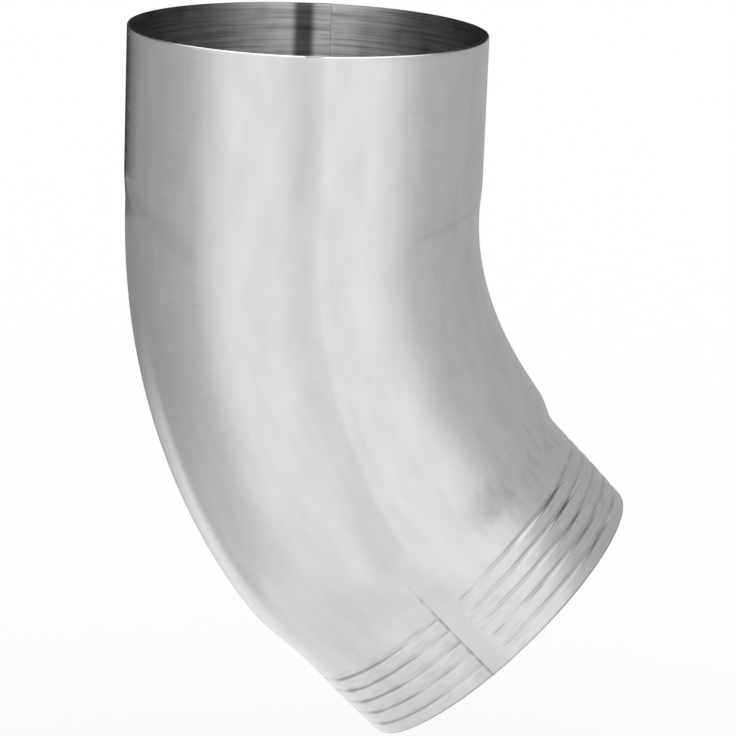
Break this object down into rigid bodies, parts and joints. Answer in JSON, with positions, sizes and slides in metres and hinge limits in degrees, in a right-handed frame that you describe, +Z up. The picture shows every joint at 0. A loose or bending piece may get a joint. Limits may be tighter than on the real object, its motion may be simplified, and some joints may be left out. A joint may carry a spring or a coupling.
{
  "type": "downspout elbow",
  "caption": "Round zinc downspout elbow with a socket mouth above, a bend of lapped half shells and a ringed spigot below.",
  "frame": {"origin": "centre of the socket's mouth, where the pipe above enters", "axes": "+Z up along the socket's axis, and the bend turns towards +X"},
  "size_m": [0.1472, 0.1066, 0.2047],
  "materials": {
    "rolled_zinc": "satin bright-rolled zinc sheet"
  },
  "bodies": {
    "root": {"heel_shell": "rolled_zinc", "throat_shell": "rolled_zinc"}
  },
  "joints": []
}
